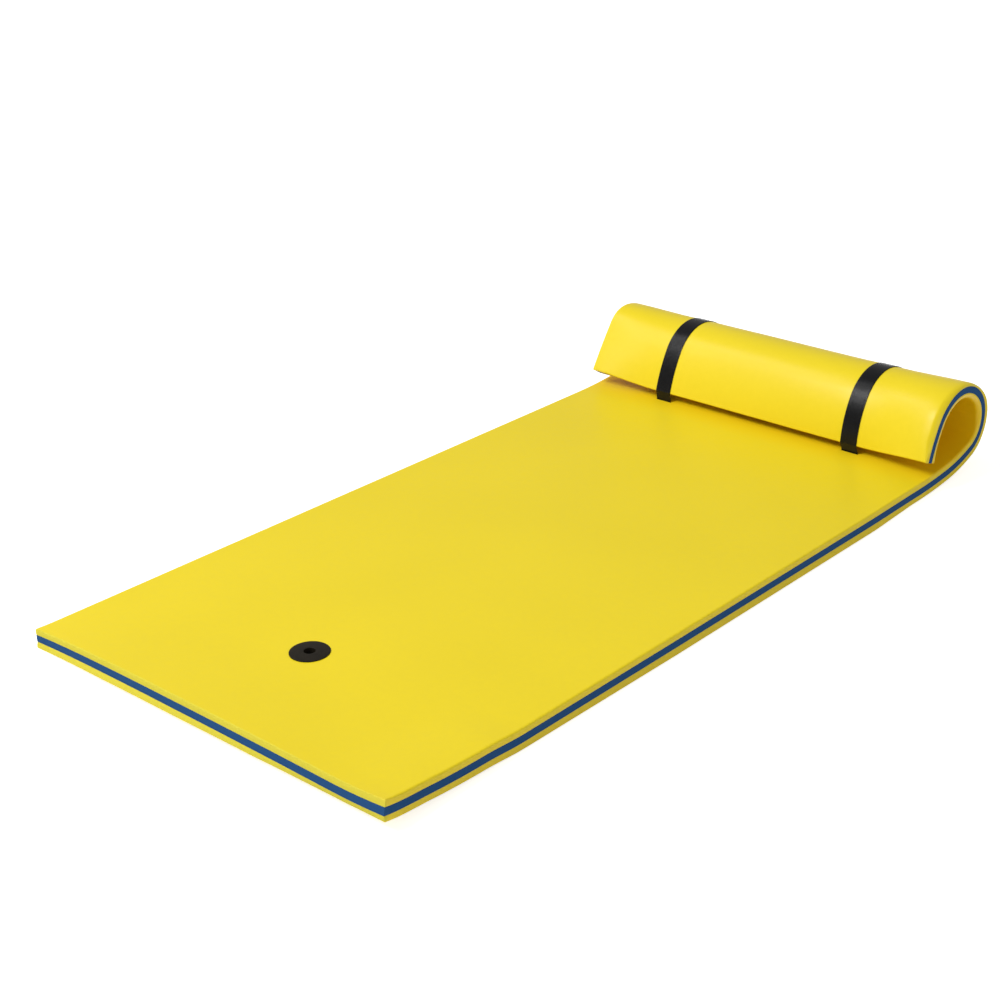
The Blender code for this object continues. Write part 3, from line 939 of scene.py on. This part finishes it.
def foam_piece(name, node, low, high, finishes):
    """One layer of foam from low to high above the mat's middle, laid and rolled."""
    xs, rows = column_lines(), row_lines()
    x, along = np.meshgrid(xs, rows)
    inset = np.minimum(mat_width / 2 - np.abs(x), np.minimum(along, mat_length - along))
    x, along, ring = round_hole(x, along)
    top, bottom = layer_heights(x, along, inset, ring, low, high)

    count = x.size
    index = np.arange(count).reshape(x.shape)
    points = [np.stack([np.ravel(x), np.ravel(along), np.ravel(above)], 1) for above in (top, bottom)]
    keep = np.ones((len(rows) - 1, len(xs) - 1), bool)
    holes = holes_in(xs, rows)
    for (left, right), (near, far) in holes:
        keep[near:far, left:right] = False

    corners = [index[:-1, :-1], index[:-1, 1:], index[1:, 1:], index[1:, :-1]]
    upper = np.stack([corner[keep] for corner in corners], 1)
    lower = upper[:, ::-1] + count
    flat_uv = points[0][:, :2]
    faces = [*upper, *lower]
    uvs = [*flat_uv[upper], *flat_uv[lower - count]]
    # Material 0 is the skin and 1 the cut, which the deck's rim at the foot has too, as painted shade
    shaded_at_foot = np.ravel(along)[upper].mean(1) < foot_edge_round
    kinds = shaded_at_foot.astype(int).tolist() if high == half_thickness else [1] * len(upper)
    kinds += [0 if low == -half_thickness else 1] * len(lower)

    # The cut faces round the mat, a little proud between the seams
    rim = rim_of(0, 0, len(xs) - 1, len(rows) - 1)
    j, i = np.array(rim).T
    away_x = (i == len(xs) - 1).astype(int) - (i == 0)
    away_along = (j == len(rows) - 1).astype(int) - (j == 0)
    rim_x, rim_along, rim_top, rim_bottom = (of[j, i] for of in (x, along, top, bottom))
    steps = np.hypot(*(np.diff(line, append=line[0]) for line in (rim_x, rim_along)))
    run = np.concatenate([[0], np.cumsum(steps)])
    levels, heights = [index[j, i]], [rim_top]
    first = 2 * count
    for level in range(1, wall_steps):
        share = level / wall_steps
        push = cut_bulge * 4 * share * (1 - share)
        above = rim_top + (rim_bottom - rim_top) * share
        points.append(np.stack([rim_x + away_x * push, rim_along + away_along * push, above], 1))
        levels.append(np.arange(first, first + len(rim)))
        heights.append(above)
        first += len(rim)
    levels.append(index[j, i] + count)
    heights.append(rim_bottom)
    for over, under, high_uv, low_uv in zip(levels, levels[1:], heights, heights[1:]):
        for k in range(len(rim)):
            after = (k + 1) % len(rim)
            faces.append([under[k], under[after], over[after], over[k]])
            uvs.append([
                (run[k], low_uv[k]), (run[k + 1], low_uv[after]),
                (run[k + 1], high_uv[after]), (run[k], high_uv[k]),
            ])

    # The walls of the slots and of the grommet's hole
    for (left, right), (near, far) in holes:
        walls = [index[row, column] for row, column in rim_of(left, near, right, far)]
        for here, after in zip(walls, [*walls[1:], walls[0]]):
            faces.append([here, after, after + count, here + count])
            uvs.append([(0, high), (row_spacing, high), (row_spacing, low), (0, low)])
    kinds += [1] * (len(faces) - len(kinds))

    mesh = mesh_of(name, laid(*np.concatenate(points).T), faces, uvs, kinds)
    made = add_piece(name, mesh, "mat", [node], finishes)


# Straps


def left_of(heading):
    """The unit vector to the left of this heading."""
    return Vector((-math.sin(heading), math.cos(heading)))


def closure(place):
    """Distances along the mat: a tail's hinge, the inner end, hooks' end, tip and loops' end."""
    hinge_along = rear_along(place) + hinge_above_rear
    inner_end_along = hinge_along - ramp_length - 2 * fit_gap
    hook_end_along = inner_end_along - hook_length
    tip_along = hook_end_along - tab_length
    return hinge_along, inner_end_along, hook_end_along, tip_along, tip_along - loop_overrun


def skin_path(place, start, end, out):
    """The path from start to end of what lies this far outside the mat's lower skin."""
    steps = math.ceil(abs(end - start) / strap_step)
    return [outside(place, along, out) for along in evenly(start, end, steps)]


def bend(centre, radius, start, end):
    """Points round a centre from one heading to another, left-handed where radius is plus."""
    steps = math.ceil(abs(end - start) / bend_step)
    return [centre - left_of(heading) * radius for heading in evenly(start, end, steps)]


def straight(start, end):
    """Points from start to end, without the end."""
    steps = math.ceil((end - start).length / strap_step)
    return [start.lerp(end, step / steps) for step in range(steps)]


def under_bend(place):
    """The strap's turn at the slot's foot, from down to along the underside."""
    level = half_thickness + webbing_out - bend_radius
    points = []
    for turn in evenly(0, quarter_turn, math.ceil(quarter_turn / bend_step)):
        ahead = bend_radius * (1 - math.cos(turn))
        down = bend_radius * math.sin(turn)
        points.append(spot_at(place, slot_along + ahead, -level - down))
    return points


def band_path(place):
    """The strap's middle line, from past its tail's hinge over the roll to its inner end."""
    hinge_along, inner_end_along = closure(place)[:2]
    over = skin_path(place, hinge_along + peel_run, mat_length - edge_round, webbing_out)
    corner = spot_at(place, mat_length - edge_round, edge_round - half_thickness)
    corner_radius = edge_round + webbing_out
    corner_heading = float(middle_line(place, mat_length)[2])
    slot_heading = float(middle_line(place, slot_along)[2]) + 3 * quarter_turn
    slot_top = spot_at(place, slot_along, half_thickness + fit_gap)
    slot_centre = slot_top - left_of(slot_heading) * bend_radius
    leg = slot_centre - corner
    reach = (corner_radius + bend_radius) / leg.length
    leg_heading = math.atan2(leg.y, leg.x) + math.asin(reach) + math.tau
    round_edge = bend(corner, corner_radius, corner_heading, leg_heading)
    into_slot = bend(slot_centre, -bend_radius, leg_heading, slot_heading)
    down_leg = straight(round_edge[-1], into_slot[0])
    turn_under = under_bend(place)
    through = straight(into_slot[-1], turn_under[0])
    under = skin_path(place, slot_along + bend_radius, inner_end_along, webbing_out)
    return over[:-1] + round_edge[:-1] + down_leg + into_slot[:-1] + through + turn_under + under[1:]


def tail_point(place, along, over=0):
    """A point of the tail's middle line, or of what lies this far outside it."""
    risen = float(ease((closure(place)[0] - along) / ramp_length))
    return outside(place, along, webbing_out + (tail_out - webbing_out) * risen + over)


def tail_alongs(hinge_along, tip_along):
    """Distances along the mat of the tail's rows, from the band's end to its tip."""
    start, end = hinge_along + peel_run, tip_along
    steps = math.ceil((start - end) / (strap_step / 2))
    rows = [row for row in evenly(start, end, steps) if row > end + tip_round]
    turns = evenly(0, quarter_turn, edge_steps)[1:]
    return sorted(rows + [end + tip_round * (1 - math.sin(turn)) for turn in turns], reverse=True)


def section(width, thickness):
    """The closed outline of a flat strip, (across, over) pairs with rounded edges."""
    half = width / 2 - thickness / 2
    steps = round(2 * half / strap_column)
    flat = [half * (2 * i / steps - 1) for i in range(steps + 1)]
    outline = [(across, -thickness / 2) for across in flat]
    turns = [quarter_turn * (2 * k / ring_steps - 1) for k in range(1, ring_steps)]
    outline += [
        (half + thickness / 2 * math.cos(turn), thickness / 2 * math.sin(turn)) for turn in turns
    ]
    outline += [(across, thickness / 2) for across in reversed(flat)]
    return outline + [
        (-half - thickness / 2 * math.cos(turn), thickness / 2 * math.sin(turn))
        for turn in reversed(turns)
    ]


def ribbon_mesh(name, path, x, width, thickness, narrowing=None):
    """A strip of this width and thickness whose middle follows a path in Y and Z."""
    outline = section(width, thickness)
    points, runs = [], [0]
    for i, point in enumerate(path):
        before, after = path[max(i - 1, 0)], path[min(i + 1, len(path) - 1)]
        tangent = (after - before).normalized()
        over = Vector((-tangent.y, tangent.x))
        share = narrowing[i] if narrowing else 1
        for across, height in outline:
            spot = point - over * height
            points.append((x + across * share, spot.x, spot.y))
        if i:
            runs.append(runs[-1] + (point - path[i - 1]).length)
    count = len(outline)
    faces = tube_faces(0, len(path), count)
    uvs = [[(outline[k % count][0], runs[k // count]) for k in face] for face in faces]
    return mesh_of(name, points, faces, uvs)


def box_stitches(alongs, x, half_width, spot):
    """The middle, direction and lift of each stitch of a box seam with a cross seam."""
    step = stitch_length + stitch_gap
    start, end = alongs
    length = abs(end - start)
    sign = 1 if end > start else -1
    found = []
    for side in (-1, 1):
        for k in range(int(length / step)):
            along = start + sign * (k + 0.5) * step
            found.append((x + side * half_width, along, (0, sign)))
    for along in (start, end):
        for k in range(int(2 * half_width / step)):
            found.append((x - half_width + (k + 0.5) * step, along, (1, 0)))
    diagonal = math.hypot(2 * half_width, length)
    for side in (-1, 1):
        for k in range(1, int(diagonal / step)):
            share = (k + 0.5) * step / diagonal
            across = side * half_width * (2 * share - 1)
            run = (side * 2 * half_width / diagonal, sign * length / diagonal)
            found.append((x + across, start + sign * length * share, run))
    return [
        (spot(across, along), spot(across + run[0] * step / 2, along + run[1] * step / 2))
        for across, along, run in found
    ]


def stitch_mesh(name, stitches, outward):
    """Each stitch as a short thread, thick in the middle and sunk at both ends."""
    points, faces = [], []
    for middle, ahead in stitches:
        run = (ahead - middle).normalized()
        lift = (outward - run * outward.dot(run)).normalized()
        side = run.cross(lift)
        faces += tube_faces(len(points), len(stitch_rings), stitch_sides, inverted=True)
        for place, thickness, height in stitch_rings:
            centre = middle + run * place * stitch_length / 2 + lift * height * stitch_radius
            for k in range(stitch_sides):
                turn = math.tau * k / stitch_sides
                reach = stitch_radius * thickness
                points.append(centre + (side * math.cos(turn) + lift * math.sin(turn)) * reach)
    return mesh_of(name, points, faces)


def patch_points(start, end, width, pitch):
    """A grid of (across, along) places over a patch, every other row set over by half."""
    rows = int(abs(end - start) / pitch)
    columns = int(width / pitch)
    sign = 1 if end > start else -1
    found = []
    for row in range(rows):
        along = start + sign * (row + 0.5) * abs(end - start) / rows
        for column in range(columns):
            across = width * ((column + 0.25 + 0.5 * (row % 2)) / columns - 1 / 2)
            found.append((across, along, row))
    return found


def hook_mesh(name, place, x):
    """The hooks of the tape: rows of stems that curl over, towards the loops."""
    points, faces = [], []
    root = hook_out + patch_thickness / 2 - tape_base
    _, inner_end_along, hook_end_along, _, _ = closure(place)
    start, end = inner_end_along - hook_end_margin, hook_end_along + hook_end_margin
    sideways = Vector((1, 0, 0))
    for across, along, row in patch_points(start, end, patch_width - hook_side_margins, hook_pitch):
        bottom, top = outside(place, along, root), outside(place, along, root - hook_height)
        ahead = outside(place, along + direction_step, root)
        up = Vector((0, *(top - bottom))).normalized()
        run = Vector((0, *(ahead - bottom))).normalized()
        lean = run if row % 2 else -run
        base = Vector((x + across, *bottom))
        faces += tube_faces(len(points), len(hook_levels), hook_sides)
        for share in hook_levels:
            bend_over = float(ease((share - hook_curl_from) / hook_curl_span))
            centre = base + up * hook_height * share + lean * hook_reach * bend_over
            reach = hook_radius * (hook_root - hook_taper * share)
            for side in range(hook_sides):
                turn = math.tau * (side + 0.5) / hook_sides
                points.append(centre + (sideways * math.cos(turn) + run * math.sin(turn)) * reach)
    return mesh_of(name, points, faces)


def strap(side, place, x, webbing, hook, loop, thread):
    """One strap: its band and loop patch, and the tail with its hook patch."""
    hinge_along, inner_end_along, hook_end_along, tip_along, loop_end_along = closure(place)
    tail_body = f"{side}_tail"
    strip = (webbing_width, webbing_thickness)

    def add(kind, body, slot, finish, node, make, *given):
        """Makes a mesh and adds it as a piece, which stands for a node of this strap."""
        name = f"strap_{side}_{kind}"
        replaced = [f"strap_{side}_{node}"] if node else ()
        return add_piece(name, make(name, *given), body, replaced, [finish])

    add("webbing", "mat", "black_webbing", webbing, "band", ribbon_mesh, band_path(place), x, *strip)

    rows = tail_alongs(hinge_along, tip_along)
    narrowing = []
    for along in rows:
        inside = min(1, (along - tip_along) / tip_round)
        cut_back = tip_round * (1 - math.sqrt(max(0, 1 - (1 - inside) ** 2)))
        narrowing.append(1 - cut_back / (webbing_width / 2))
    line = [tail_point(place, along) for along in rows]
    tail = add(
        "tail_webbing", None, "black_webbing", webbing, "tail",
        ribbon_mesh, line, x, *strip, narrowing,
    )
    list(tail_point(place, hinge_along + peel_start))
    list(tail_point(place, hinge_along - peel_end))
    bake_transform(tail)

    base_out = hook_out + patch_thickness / 2 - tape_base / 2
    base_line = skin_path(place, inner_end_along, hook_end_along, base_out)
    add(
        "hook_tape", tail_body, "black_hook_tape", hook, "hook_patch",
        ribbon_mesh, base_line, x, patch_width, tape_base,
    )
    add("hooks", tail_body, "black_hook_tape", hook, None, hook_mesh, place, x)
    pile_line = skin_path(place, inner_end_along, loop_end_along, loop_out)
    add(
        "loop_tape", "mat", "black_loop_tape", loop, "loop_patch",
        ribbon_mesh, pile_line, x, patch_width, patch_thickness,
    )

    def tail_spot(across, along):
        """A place on the tail's outer face."""
        return Vector((across, *tail_point(place, along, webbing_thickness / 2)))

    ends = (inner_end_along - stitch_inset, hook_end_along + stitch_inset)
    stitches = box_stitches(ends, x, webbing_width / 2 - stitch_inset, tail_spot)
    add(
        "tail_stitching", tail_body, "black_webbing", thread, None,
        stitch_mesh, stitches, Vector((0, 1, 0)),
    )


# Grommet


def rounded(corners):
    """The outline of (radius, height, rounding) corners, each rounded by an arc."""
    points = []
    for i, (r, z, round_off) in enumerate(corners):
        here = Vector((r, z))
        if not round_off:
            points.append(here)
            continue
        before = Vector(corners[i - 1][:2]) - here
        after = Vector(corners[(i + 1) % len(corners)][:2]) - here
        half = before.angle(after) / 2
        reach = round_off / math.tan(half)
        centre = here + (before.normalized() + after.normalized()).normalized() * (
            round_off / math.sin(half)
        )
        start = here + before.normalized() * reach - centre
        end = here + after.normalized() * reach - centre
        for step in range(ring_steps + 1):
            away = start.lerp(end, step / ring_steps).normalized()
            points.append(centre + away * round_off)
    return points


def turned(name, corners, node, plastic):
    """A ring turned about the grommet's axis from its closed outline."""
    outline = rounded(corners)
    axis_y = grommet_place - overall_length / 2
    points, faces = [], []
    count = len(outline)
    for step in range(turned_steps):
        turn = math.tau * step / turned_steps
        for point in outline:
            points.append((point.x * math.cos(turn), axis_y + point.x * math.sin(turn), point.y))
        for k in range(count):
            a, b = step * count + k, step * count + (k + 1) % count
            over = count if step < turned_steps - 1 else count - len(points)
            faces.append((a, b, b + over, a + over))
    add_piece(name, mesh_of(name, points, faces), "mat", [node], [plastic])


def barb(radius):
    """The snap ridge on a wall of this radius, from its top to its bottom."""
    return [
        (radius, barb_place + barb_length, 0),
        (radius + barb_height, barb_place + barb_length / 2, 0),
        (radius, barb_place, 0),
    ]


def grommet(plastic):
    """The upper flange with its tube, and the lower flange with its sleeve."""
    seat = mat_thickness + fit_gap
    land_radius = bore_radius + flange_land_width
    foot = lower_flange_thickness / 2
    upper = [
        (bore_radius, seat + flange_land_thickness, flange_round),
        (land_radius, seat + flange_land_thickness, land_round),
        (flange_radius, seat + flange_rim_thickness, flange_round),
        (flange_radius, seat, 0),
        (tube_radius, seat, 0),
        *barb(tube_radius),
        (tube_radius, foot, 0),
        (bore_radius, foot, 0),
    ]
    turned("grommet_flange", upper, "grommet_top", plastic)
    flange_top = fit_gap + lower_flange_thickness
    lower = [
        (sleeve_bore, mat_thickness - fit_gap, 0),
        (sleeve_radius, mat_thickness - fit_gap, 0),
        (sleeve_radius, flange_top, 0),
        (flange_radius, flange_top, flange_round),
        (flange_radius, fit_gap, flange_round),
        (sleeve_bore, fit_gap, 0),
        *reversed(barb(sleeve_bore)),
    ]
    turned("grommet_sleeve", lower, "grommet_bottom", plastic)


# Stage

camera_place = Vector((2.0814, -1.4478 - overall_length / 2, 1.5199))
camera_azimuth = 43.476
camera_elevation = 24.323
camera_roll = math.radians(-2.141)
sensor_width = 36
lens_length = 63.27

# Each lamp's azimuth and elevation in degrees, its width and its power
lamp_distance = 8
lamps = {"key": (-28, 50, 3.2, 440), "side": (-82, 50, 2.2, 85), "fill": (85, 18, 3.0, 62)}

# The floor's half width and how far it lies below the mat, its grey, and the white that the
# camera sees added; and what the surround gives as light, and shows
floor_reach = 30
floor_drop = 0.0004
floor_grey = 0.80
floor_white = 0.74
surround_light = 0.36
surround_shown = 1


def direction(azimuth, elevation):
    """The unit vector this way from the origin: from the foot's side towards +X, and up."""
    azimuth, elevation = math.radians(azimuth), math.radians(elevation)
    level = math.cos(elevation)
    return Vector((math.sin(azimuth) * level, -math.cos(azimuth) * level, math.sin(elevation)))


def camera():
    """The camera that the photograph was taken with."""
    back = direction(camera_azimuth, camera_elevation)
    right = (-back).cross(Vector((0, 0, 1))).normalized()
    up = right.cross(-back)
    across = right * math.cos(camera_roll) + up * math.sin(camera_roll)
    upward = up * math.cos(camera_roll) - right * math.sin(camera_roll)
    turn = Matrix((across, upward, back)).transposed()
    data = bpy.data.cameras.new("camera")
    data.sensor_width = sensor_width
    data.lens = lens_length
    made = in_scene("camera", data)
    made.matrix_world = Matrix.Translation(camera_place) @ turn.to_4x4()
    bpy.context.scene.camera = made


def lamp(name, azimuth, elevation, size, power):
    """A soft lamp that looks at the middle of the mat."""
    data = bpy.data.lights.new(name, "AREA")
    data.shape = "DISK"
    data.size = size
    data.energy = power
    made = in_scene(name, data)
    away = direction(azimuth, elevation)
    made.location = away * lamp_distance
    made.rotation_euler = away.to_track_quat("Z", "Y").to_euler()


def white_to_camera(tree, shader, output, share):
    """Adds plain white to what the camera and mirrors see of a surface."""
    path = tree.nodes.new("ShaderNodeLightPath")
    seen = calc(tree, "MAXIMUM", path.outputs["Is Camera Ray"], path.outputs["Is Glossy Ray"])
    seen = calc(tree, "MAXIMUM", seen, path.outputs["Is Transmission Ray"])
    glow = tree.nodes.new("ShaderNodeEmission")
    tree.links.new(calc(tree, "MULTIPLY", seen, share), glow.inputs["Strength"])
    both = tree.nodes.new("ShaderNodeAddShader")
    tree.links.new(shader, both.inputs[0])
    tree.links.new(glow.outputs[0], both.inputs[1])
    tree.links.new(both.outputs[0], output)


def stage():
    """A plain pale floor, soft lamps and an even white surround."""
    mesh = bpy.data.meshes.new("floor")
    signs = ((-1, -1), (1, -1), (1, 1), (-1, 1))
    mesh.from_pydata([(a * floor_reach, b * floor_reach, 0) for a, b in signs], [], [(0, 1, 2, 3)])
    floor = in_scene("floor", mesh)
    floor.location.z = -floor_drop
    finish, tree, shader = shaded("floor", (floor_grey,) * 3, roughness=0.9, gloss=0.1)
    output = tree.nodes["Material Output"].inputs["Surface"]
    white_to_camera(tree, shader.outputs[0], output, floor_white)
    mesh.materials.append(finish)

    world = bpy.data.worlds.new("surround")
    bpy.context.scene.world = world
    world.use_nodes = True
    tree = world.node_tree
    ground = tree.nodes["Background"]
    ground.inputs["Color"].default_value = (1, 1, 1, 1)
    seen = tree.nodes.new("ShaderNodeLightPath").outputs["Is Camera Ray"]
    glow = ranged(tree, seen, 0, 1, surround_light, surround_shown)
    tree.links.new(glow, ground.inputs["Strength"])

    for name, given in lamps.items():
        lamp(name, *given)
    bpy.context.scene.view_settings.view_transform = "Standard"


def build():
    """Makes the mat's looks and the stage."""
    deck_skin = skin_material("foam_deck_skin", True)
    skin = skin_material("foam_skin", False)
    cut = cut_material("foam_cut_yellow", cut_yellow, seam_yellow, foot_shade_yellow)
    cut_blue = cut_material("foam_cut_blue", blue, scaled(blue, 1.1), blue)
    strap_looks = (webbing_material(), hook_material(), loop_material(), thread_material())
    plastic = plastic_material()

    core = core_thickness / 2
    outer = half_thickness
    foam_piece("foam_top", "foam_top_layer", core, outer, [deck_skin, cut])
    foam_piece("foam_core", "foam_core_layer", -core, core, [cut_blue, cut_blue])
    foam_piece("foam_bottom", "foam_bottom_layer", -outer, -core, [skin, cut])
    grommet(plastic)
    strap("left", left_strap, -strap_place, *strap_looks)
    strap("right", right_strap, strap_place, *strap_looks)
    camera()
    stage()


build()
